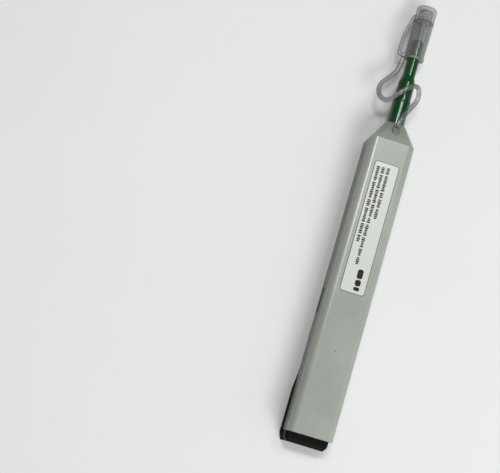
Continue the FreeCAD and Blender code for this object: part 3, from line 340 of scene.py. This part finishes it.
def twisted_microfibre_thread():
    # Split polyester microfibre thread: white and lint-free, with a twist in it. The twist
    # is drawn 5 mm long, coarser than a real one, so that it shows.
    material, output, place = new_material("white_microfibre_twisted")
    twist = add(material, "TexWave", {"Vector": place,
                                      "Scale": wave_scale(5.027, WAVE_ON_DIAGONAL),
                                      "Distortion": 2.0, "Detail": 2.0},
                bands_direction="DIAGONAL")
    tint = add(material, "ValToRGB", {"Fac": twist.outputs["Fac"]})
    tint.color_ramp.elements[0].color = linear("#d8d8d4")
    tint.color_ramp.elements[1].color = linear("#f2f2ef")
    bump = add(material, "Bump", {"Height": twist.outputs["Fac"], "Strength": 0.5,
                                  "Distance": 0.05 * MM})
    shader = add(material, "BsdfPrincipled", {
        "Base Color": tint.outputs["Color"], "Roughness": 0.85, "Sheen Weight": 0.4,
        "Sheen Roughness": 0.4, "Normal": bump.outputs["Normal"]})
    return finish_surface(material, output, shader)


def dust_and_painted_shadow():
    # Grey, dull and patchy: dust for the grit fleck, and painted shadow for the line round the
    # label's edge.
    material, output, place = new_material("matt_dust_and_painted_shadow")
    patch = add(material, "TexNoise", {"Vector": place, "Scale": per_metre(0.6), "Detail": 3.0})
    tint = add(material, "ValToRGB", {"Fac": patch.outputs["Fac"]})
    tint.color_ramp.elements[0].position = 0.3
    tint.color_ramp.elements[0].color = linear("#3c3f3a")
    tint.color_ramp.elements[1].position = 0.7
    tint.color_ramp.elements[1].color = linear("#64675f")
    shader = add(material, "BsdfPrincipled", {
        "Base Color": tint.outputs["Color"], "Roughness": 0.9, "IOR": 1.45})
    return finish_surface(material, output, shader)


def shadowed_joint():
    # Painted shade in the gap where the green polycarbonate's two lengths meet: nearly black.
    material, output, place = new_material("green_joint_painted_shade")
    joint_speckle = add(material, "TexNoise", {"Vector": place, "Scale": per_metre(0.4),
                                         "Detail": 2.0})
    tint = add(material, "ValToRGB", {"Fac": joint_speckle.outputs["Fac"]})
    tint.color_ramp.elements[0].color = linear("#020a05")
    tint.color_ramp.elements[1].color = linear("#06180c")
    shader = add(material, "BsdfPrincipled", {
        "Base Color": tint.outputs["Color"], "Roughness": 0.55, "IOR": 1.58})
    return finish_surface(material, output, shader)


silver_abs = moulded_satin_abs()
black_abs = moulded_black_abs()
green_polycarbonate = polished_green_polycarbonate()
clear_polypropylene = moulded_clear_polypropylene(
    "clear_polypropylene_moulded", 0.14, 0.75, "#a0a09f", "#6d6e6d", underside=0.46)
lid_polypropylene = moulded_clear_polypropylene(
    "lid_polypropylene_moulded", 0.12, 0.72, "#b6b5b5", "#7c7b7b", underside=0.36)
strap_polypropylene = moulded_clear_polypropylene(
    "strap_polypropylene_moulded", 0.44, 0.95, "#787778", "#3c3b3c")
band_polypropylene = moulded_clear_polypropylene(
    "band_polypropylene_moulded", 0.52, 0.9, "#a19fa0", "#5a595a")
# A painted highlight for the lip inside the cap's mouth: pale, green-tinted plastic.
rim_highlight_polypropylene = moulded_clear_polypropylene(
    "polypropylene_rim_painted_highlight", 0.55, 0.7, "#bcc8bc", "#9caa9c")
hazy_polypropylene = moulded_clear_polypropylene(
    "hazy_polypropylene_moulded", 0.6, 0.95, "#a2a49f", "#3c3e3b")
label_film = coated_label_film()
black_ink = printed_black_ink()
dust_and_shadow_grey = dust_and_painted_shadow()
dark_joint = shadowed_joint()
grey_acetal = moulded_acetal("grey_acetal_moulded", "#a9aba9", "#b2b4b2")
white_acetal = moulded_acetal("white_acetal_moulded", "#dedcd4", "#e7e5de")
smoky_acetal = moulded_acetal("smoky_acetal_moulded", "#5f6462", "#6c716f")
spring_wire = drawn_spring_wire()
pin_steel = ground_pin_steel()
microfibre = twisted_microfibre_thread()

NODE_FINISHES = {
    "case_shell": silver_abs, "bottom_plate": silver_abs, "rear_cover": black_abs,
    "cam_pin": pin_steel, "label": label_film, "carriage_frame": grey_acetal,
    "takeup_axle": pin_steel, "supply_axle": pin_steel, "rear_guide_pin": pin_steel,
    "front_guide_pin": pin_steel, "upper_mouth_pin": pin_steel,
    "lower_mouth_pin": pin_steel, "takeup_reel": white_acetal,
    "takeup_thread": microfibre, "supply_reel": white_acetal,
    "supply_thread": microfibre, "drive_pinion": white_acetal,
    "ratchet_pawl": spring_wire, "cleaning_thread": microfibre,
    "nozzle_sleeve": green_polycarbonate, "nozzle": green_polycarbonate,
    "tip_tube": smoky_acetal, "spindle": white_acetal, "tip_head": smoky_acetal,
    "tip_spring": spring_wire, "return_spring": spring_wire,
    "guide_cap": clear_polypropylene, "dust_lid": lid_polypropylene,
    "lid_band": band_polypropylene, "strap_plug": hazy_polypropylene,
    "strap": clear_polypropylene,
}
for node_name, finish in NODE_FINISHES.items():
    mesh = nodes[node_name].data
    mesh.materials.clear()
    mesh.materials.append(finish)


# ---------------------------------------------------------------- strap

# The strap's route, from the button in the nose, round the nozzle to the cap's foot.
STRAP_ROUTE = [
    (0.1, 69.6, 15.4), (0.5, 73.4, 15.9), (3.0, 78.6, 14.6), (5.9, 84.2, 12.6),
    (5.0, 89.4, 13.8), (1.2, 88.8, 16.4), (-3.4, 83.6, 16.4), (-7.4, 78.8, 14.4),
    (-11.3, 82.2, 11.6), (-11.2, 87.4, 9.8), (-7.6, 91.8, 8.7), (-4.7, 96.6, 8.5),
    (-4.6, 102.1, 8.5),
]
STRAP_WIDTH = 2.0 * MM
STRAP_THICKNESS = 0.95 * MM
STRAP_SPLIT = Vector((-3.4, 83.6, 16.4)) * MM
SPLINE_STEPS = 16
EDGE_STEPS = 3
EDGE_ROUNDING = 0.8


def route_line(points_mm):
    """A strap's smooth line: points along the spline that its route controls."""
    curve = bpy.data.curves.new("strap_route", "CURVE")
    curve.dimensions = "3D"
    curve.resolution_u = SPLINE_STEPS
    spline = curve.splines.new("NURBS")
    spline.points.add(len(points_mm) - 1)
    for point, place in zip(spline.points, points_mm):
        point.co = (*(Vector(place) * MM), 1.0)
    spline.order_u = 3
    spline.use_endpoint_u = True
    carrier = bpy.data.objects.new("strap_route", curve)
    mesh = bpy.data.meshes.new_from_object(carrier)
    line = [v.co.copy() for v in mesh.vertices]
    bpy.data.objects.remove(carrier)
    bpy.data.curves.remove(curve)
    bpy.data.meshes.remove(mesh)
    return line


def line_length(line):
    return sum((b - a).length for a, b in zip(line, line[1:]))


def ribbon_section(width, thickness):
    """A flat strip's outline with rounded edges, as (across, through) pairs."""
    half_width = width / 2
    radius = min(width, thickness) / 2 * EDGE_ROUNDING
    half_flat = thickness / 2 - radius
    outline = []
    for quarter, (side, face) in enumerate(((1, 1), (-1, 1), (-1, -1), (1, -1))):
        for step in range(EDGE_STEPS + 1):
            turn = math.pi / 2 * (quarter + step / EDGE_STEPS)
            outline.append((side * (half_width - radius) + radius * math.cos(turn),
                            face * half_flat + radius * math.sin(turn)))
    return outline


def skin_rings(build, rings):
    """Closes a row of rings into a solid, with a face at each end."""
    for before, after in zip(rings, rings[1:]):
        for i in range(len(before)):
            j = (i + 1) % len(before)
            build.faces.new((before[i], before[j], after[j], after[i]))
    build.faces.new(list(reversed(rings[0])))
    build.faces.new(rings[-1])


def make_piece(name, build, material, smooth):
    """Turns a built mesh into an object with one finish."""
    bmesh.ops.recalc_face_normals(build, faces=build.faces)
    mesh = bpy.data.meshes.new(name)
    build.to_mesh(mesh)
    build.free()
    mesh.polygons.foreach_set("use_smooth", [smooth] * len(mesh.polygons))
    mesh.materials.append(material)
    piece = bpy.data.objects.new(name, mesh)
    bpy.context.scene.collection.objects.link(piece)
    return piece


def ribbon(name, line, outline, material):
    """A closed strip of one section along a line, its across lying level."""
    build = bmesh.new()
    rings = []
    for i, place in enumerate(line):
        along = (line[min(i + 1, len(line) - 1)] - line[max(i - 1, 0)]).normalized()
        across = along.cross(UP).normalized()
        through = across.cross(along)
        rings.append([build.verts.new(place + across * u + through * v) for u, v in outline])
    skin_rings(build, rings)
    return make_piece(name, build, material, smooth=True)


def follow_length(line, ring_size):
    """Works out a smooth weight along the piece's length for each ring; the weights are not
    used.
    """
    total = line_length(line)
    run = 0.0
    weights = []
    for i, place in enumerate(line):
        if i:
            run += (place - line[i - 1]).length
        share = run / total
        weights += [share * share * (3 - 2 * share)] * ring_size


strap_line = route_line(STRAP_ROUTE)
split = min(range(len(strap_line)), key=lambda i: (strap_line[i] - STRAP_SPLIT).length)
section = ribbon_section(STRAP_WIDTH, STRAP_THICKNESS)
for name, line, bodies in (("strap_lower", strap_line[:split + 1], ("case", "carriage")),
                           ("strap_upper", strap_line[split:], ("carriage", "cap"))):
    piece = ribbon(name, line, section, strap_polypropylene)
    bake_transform(piece)
    follow_length(line, len(section))
    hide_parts("strap")


# ---------------------------------------------------------------- lid band and springs

# The band's route, from the cap's root round its fold and up its bow to the lid.
BAND_ROUTE = [(-5.1, 103.0, 8.5), (-6.8, 103.0, 8.5), (-6.8, 105.4, 8.5),
              (-6.8, 112.9, 8.5), (-4.35, 121.4, 8.5)]
BAND_WIDTH = 1.4 * MM
BAND_THICKNESS = 1.5 * MM
COIL_SECTION_SIDES = 8
COIL_STEPS = 32


def add_lid_band():
    line = route_line(BAND_ROUTE)
    section = ribbon_section(BAND_WIDTH, BAND_THICKNESS)
    piece = ribbon("lid_band_moulded", line, section, band_polypropylene)
    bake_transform(piece)
    follow_length(line, len(section))
    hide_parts("lid_band")


def add_coil(node, name, height, radius, wire, turns):
    """A round-wire spring along the pen, with even turns over the length of the part it stands
    in for.
    """
    low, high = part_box(node)
    rear, front = low.y, high.y
    start = rear + wire
    rise = (front - rear - 2 * wire) / (2 * math.pi * turns)
    slope = math.atan2(rise, radius)
    build = bmesh.new()
    rings = []
    for i in range(turns * COIL_STEPS + 1):
        turn = 2 * math.pi * i / COIL_STEPS
        out = Vector((math.cos(turn), 0, -math.sin(turn)))
        along = Vector((-math.sin(turn) * math.cos(slope), math.sin(slope),
                        -math.cos(turn) * math.cos(slope)))
        side = along.cross(out)
        middle = out * radius + Vector((0, start + rise * turn, height))
        rings.append([])
        for j in range(COIL_SECTION_SIDES):
            roll = 2 * math.pi * j / COIL_SECTION_SIDES
            place = middle + (out * math.cos(roll) + side * math.sin(roll)) * wire
            rings[-1].append(build.verts.new(place))
    skin_rings(build, rings)
    piece = make_piece(name, build, spring_wire, smooth=True)
    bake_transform(piece)
    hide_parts(node)


add_lid_band()
add_coil("return_spring", "return_spring_coil", height=6.5 * MM, radius=3.1 * MM,
         wire=0.35 * MM, turns=7)
add_coil("tip_spring", "tip_spring_coil", height=AXIS_HEIGHT, radius=0.85 * MM,
         wire=0.1 * MM, turns=6)


# ---------------------------------------------------------------- label print

LABEL_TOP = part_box("label")[1].z
PRINT_RISE = 0.015 * MM

# Small print as rows of plain ticks: where each line lies across the label, where it
# starts along the pen, and how long it is, in millimetres.
PRINT_LINES = [(0.95, 51.2, 22.1), (-1.25, 51.0, 41.9), (-3.4, 50.9, 32.6)]
TICK_WIDTH = 1.45
TICK_LENGTHS = (0.42, 0.68)
TICK_GAP = 0.2
TICK_HEIGHTS = (0.75, 1.0)
GROUP_GAP = 0.75
GROUP_TICKS = (3, 9)
PRINT_SEED = 4
CORNER_CUT = 0.22
# The bold mark at the label's rear end, as plain blocks: where it starts and how long.
MARK_BLOCKS = [(7.3, 3.9), (2.9, 2.6), (-0.2, 1.5)]
MARK_WIDTH = 2.4
MARK_PLACE = 1.4


def finish_piece(name, build, material, body):
    """Turns a built mesh into a crisp piece that rides on a body."""
    piece = make_piece(name, build, material, smooth=False)
    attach(piece, body)


def raise_outline(build, low_points, high_points):
    """A thin solid between an outline and the outline above it."""
    low = [build.verts.new(point) for point in low_points]
    high = [build.verts.new(point) for point in high_points]
    build.faces.new(high)
    build.faces.new(list(reversed(low)))
    for i in range(len(low)):
        j = (i + 1) % len(low)
        build.faces.new((low[i], low[j], high[j], high[i]))


def print_bar(build, across, front, length, width):
    """One thin printed bar with cut corners, lying on the label."""
    cut = min(width, length) * CORNER_CUT
    half = width / 2
    outline = [(across - half + cut, front), (across + half - cut, front),
               (across + half, front - cut), (across + half, front - length + cut),
               (across + half - cut, front - length), (across - half + cut, front - length),
               (across - half, front - length + cut), (across - half, front - cut)]
    raise_outline(build, [(x * MM, y * MM, LABEL_TOP) for x, y in outline],
                  [(x * MM, y * MM, LABEL_TOP + PRINT_RISE) for x, y in outline])


def add_label_print():
    build = bmesh.new()
    draw = random.Random(PRINT_SEED)
    for across, front, length in PRINT_LINES:
        end = front - length
        ticks_left = draw.randint(*GROUP_TICKS)
        while front > end:
            tick = draw.uniform(*TICK_LENGTHS)
            print_bar(build, across, front, tick, TICK_WIDTH * draw.choice(TICK_HEIGHTS))
            ticks_left -= 1
            front -= tick + (TICK_GAP if ticks_left else GROUP_GAP)
            ticks_left = ticks_left or draw.randint(*GROUP_TICKS)
    for front, length in MARK_BLOCKS:
        print_bar(build, MARK_PLACE, front, length, MARK_WIDTH)
    finish_piece("label_print", build, black_ink, "case")


add_label_print()


# ---------------------------------------------------------------- small marks

CASE_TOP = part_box("case_shell")[1].z
# The painted shadow round the label's edge: its width and its rise.
EDGE_SHADOW_WIDTH = 0.26 * MM
EDGE_SHADOW_RISE = 0.04 * MM
CORNER_RADIUS = 1.0 * MM
CORNER_STEPS = 6
JOINT_PLACE = 82.5 * MM
JOINT_WIDTH = 0.7 * MM
JOINT_RADIUS = 3.7 * MM
JOINT_DEPTH = 0.1 * MM
RING_SIDES = 64
MOUTH_RADIUS = 2.72 * MM
MOUTH_DEPTH = 0.12 * MM
MOUTH_WIDTH = 0.9 * MM
FLECK_PLACE = Vector((0.0, -27.5, 0.0)) * MM
FLECK_OUTLINE = [(0.3, 0.02), (0.16, 0.2), (-0.08, 0.24), (-0.27, 0.08), (-0.2, -0.15),
                 (0.05, -0.22), (0.24, -0.12)]
FLECK_RISE = 0.02 * MM
FLECK_TOP = 0.7


def rounded_outline(low, high, radius):
    """The outline of a rectangle with round corners, as (x, y) pairs."""
    outline = []
    for quarter, (x, y) in enumerate(((high.x - radius, high.y - radius),
                                      (low.x + radius, high.y - radius),
                                      (low.x + radius, low.y + radius),
                                      (high.x - radius, low.y + radius))):
        for step in range(CORNER_STEPS + 1):
            turn = math.pi / 2 * (quarter + step / CORNER_STEPS)
            outline.append((x + radius * math.cos(turn), y + radius * math.sin(turn)))
    return outline


def band(build, rings):
    """Closes a loop of rings, each a list of points, into a solid band."""
    verts = [[build.verts.new(point) for point in ring] for ring in rings]
    for before, after in zip(verts, verts[1:] + verts[:1]):
        for i in range(len(before)):
            j = (i + 1) % len(before)
            build.faces.new((before[i], before[j], after[j], after[i]))


def add_label_edge_shadow():
    """A fine grey line round the label's edge, a painted shadow of the label's thickness."""
    low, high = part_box("label")
    edge = Vector((EDGE_SHADOW_WIDTH, EDGE_SHADOW_WIDTH, 0))
    inner = rounded_outline(low, high, CORNER_RADIUS)
    outer = rounded_outline(low - edge, high + edge, CORNER_RADIUS + EDGE_SHADOW_WIDTH)
    build = bmesh.new()
    band(build, [[(x, y, CASE_TOP) for x, y in inner], [(x, y, CASE_TOP) for x, y in outer],
                 [(x, y, CASE_TOP + EDGE_SHADOW_RISE / 2) for x, y in outer],
                 [(x, y, CASE_TOP + EDGE_SHADOW_RISE) for x, y in inner]])
    finish_piece("label_edge_shadow", build, dust_and_shadow_grey, "case")


def collar(rear, front, inner, outer):
    """A built band round the pen's axis, between two places and two radii."""
    def ring(y, radius):
        return [(radius * math.sin(turn), y, AXIS_HEIGHT + radius * math.cos(turn))
                for turn in (2 * math.pi * i / RING_SIDES for i in range(RING_SIDES))]

    build = bmesh.new()
    band(build, [ring(rear, inner), ring(rear, outer), ring(front, outer), ring(front, inner)])
    return build


def add_joint_line():
    """The shadowed joint between the nozzle's two lengths."""
    build = collar(JOINT_PLACE - JOINT_WIDTH / 2, JOINT_PLACE + JOINT_WIDTH / 2,
                   JOINT_RADIUS - JOINT_DEPTH, JOINT_RADIUS + JOINT_DEPTH)
    finish_piece("nozzle_joint_line", build, dark_joint, "carriage")


def add_mouth_highlight():
    """A painted highlight: pale green-grey light caught in the lip inside the cap's mouth."""
    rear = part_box("guide_cap")[0].y
    build = collar(rear, rear + MOUTH_WIDTH, MOUTH_RADIUS, MOUTH_RADIUS + MOUTH_DEPTH)
    finish_piece("cap_mouth_highlight", build, rim_highlight_polypropylene, "cap")


def add_fleck():
    """A dark speck of grit caught in the case's top."""
    build = bmesh.new()
    raise_outline(build, [(x * MM, y * MM, CASE_TOP) for x, y in FLECK_OUTLINE],
                  [(x * MM * FLECK_TOP, y * MM * FLECK_TOP, CASE_TOP + FLECK_RISE)
                   for x, y in FLECK_OUTLINE])
    bmesh.ops.translate(build, verts=build.verts, vec=FLECK_PLACE)
    finish_piece("grit_fleck", build, dust_and_shadow_grey, "case")


add_label_edge_shadow()
add_joint_line()
add_mouth_highlight()
add_fleck()


# ---------------------------------------------------------------- bench and light

BENCH_REACH = 2500 * MM
ROOM_COLOUR = "#f4f6f4"
ROOM_STRENGTH = 0.16
# The soft lights: name, place, aim and size in millimetres, power in watts, and colour.
SOFTBOXES = [
    ("window", (-100, 240, 800), (0, 60, 0), (210, 140), 2.55, "#ffffff"),
    ("lamp", (145, 362, 800), (0, 60, 0), (110, 104), 0.72, "#f6fff4"),
    ("front_fill", (350, -450, 750), (0, 20, 0), (500, 400), 4.9, "#fbfcff"),
    ("side_fill", (900, 0, 500), (0, 20, 0), (700, 500), 1.2, "#fbfcff"),
]


def add_bench():
    """A plain pale sheet under the pen."""
    half = BENCH_REACH
    mesh = bpy.data.meshes.new("bench")
    mesh.from_pydata([(-half, -half, 0), (half, -half, 0), (half, half, 0), (-half, half, 0)],
                     [], [(0, 1, 2, 3)])
    # Matt white card: pale and even, with a very faint mottle.
    material, output, place = new_material("white_card_matt")
    mottle = add(material, "TexNoise", {"Vector": place, "Scale": per_metre(60), "Detail": 2.0})
    tint = add(material, "ValToRGB", {"Fac": mottle.outputs["Fac"]})
    tint.color_ramp.elements[0].color = linear("#e6e6e5")
    tint.color_ramp.elements[1].color = linear("#eaeae9")
    shader = add(material, "BsdfPrincipled", {
        "Base Color": tint.outputs["Color"], "Roughness": 0.9, "IOR": 1.45})
    mesh.materials.append(finish_surface(material, output, shader))
    bench = bpy.data.objects.new("bench", mesh)
    bpy.context.scene.collection.objects.link(bench)


def add_softbox(name, place_mm, aim_mm, size_mm, power, colour):
    """A rectangular soft light at a place, turned to an aim."""
    data = bpy.data.lights.new(name, "AREA")
    data.shape = "RECTANGLE"
    data.size, data.size_y = (s * MM for s in size_mm)
    data.energy = power
    data.color = linear(colour)[:3]
    light = bpy.data.objects.new(name, data)
    light.location = Vector(place_mm) * MM
    aim = Vector(aim_mm) * MM - light.location
    light.rotation_euler = aim.to_track_quat("-Z", "Y").to_euler()
    bpy.context.scene.collection.objects.link(light)


def add_lights():
    world = bpy.data.worlds.new("soft_room")
    world.use_nodes = True
    background = world.node_tree.nodes["Background"]
    background.inputs["Color"].default_value = linear(ROOM_COLOUR)
    background.inputs["Strength"].default_value = ROOM_STRENGTH
    bpy.context.scene.world = world
    for softbox in SOFTBOXES:
        add_softbox(*softbox)


add_bench()
add_lights()
bpy.context.scene.view_settings.view_transform = "Standard"
